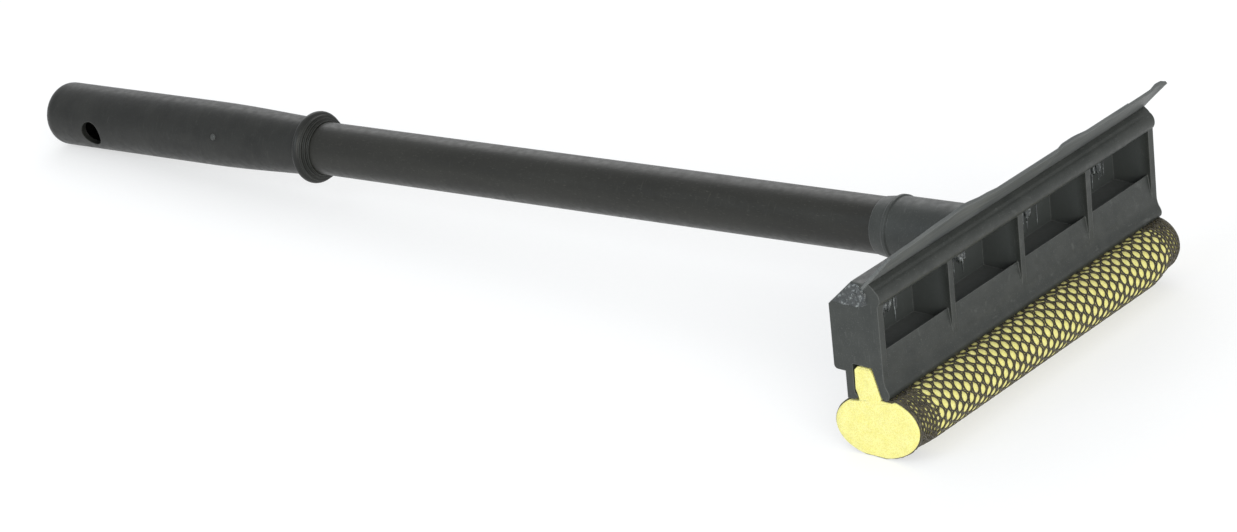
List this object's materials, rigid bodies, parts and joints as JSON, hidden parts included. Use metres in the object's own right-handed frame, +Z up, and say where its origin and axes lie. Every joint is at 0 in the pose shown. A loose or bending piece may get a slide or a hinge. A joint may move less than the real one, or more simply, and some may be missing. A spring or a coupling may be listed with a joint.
{
  "type": "window squeegee",
  "caption": "Moulded windscreen squeegee head with a rubber blade above, a netted foam scrubbing sponge below, and a long tubular handle with a moulded grip and hang hole.",
  "frame": {"origin": "on the table, midway between the front of the sponge and the end of the grip, and midway along the head", "axes": "+X along the head, +Y from the head to the grip, +Z up; the squeegee lies on its sponge and the end of its grip"},
  "size_m": [0.2032, 0.6118, 0.0939],
  "materials": {
    "head_plastic": "moulded charcoal plastic, satin, lightly mottled",
    "blade_rubber": "smooth black rubber strip",
    "foam": "open-cell polyurethane foam, pale yellow",
    "net_yarn": "knitted black nylon netting",
    "tube_plastic": "extruded black plastic tube, satin",
    "grip_plastic": "moulded black plastic, satin"
  },
  "bodies": {
    "root": {"head_body": "head_plastic", "wiper_blade": "blade_rubber", "sponge": "foam", "scrub_net": "net_yarn", "handle_tube": "tube_plastic", "hand_grip": "grip_plastic"}
  },
  "joints": []
}
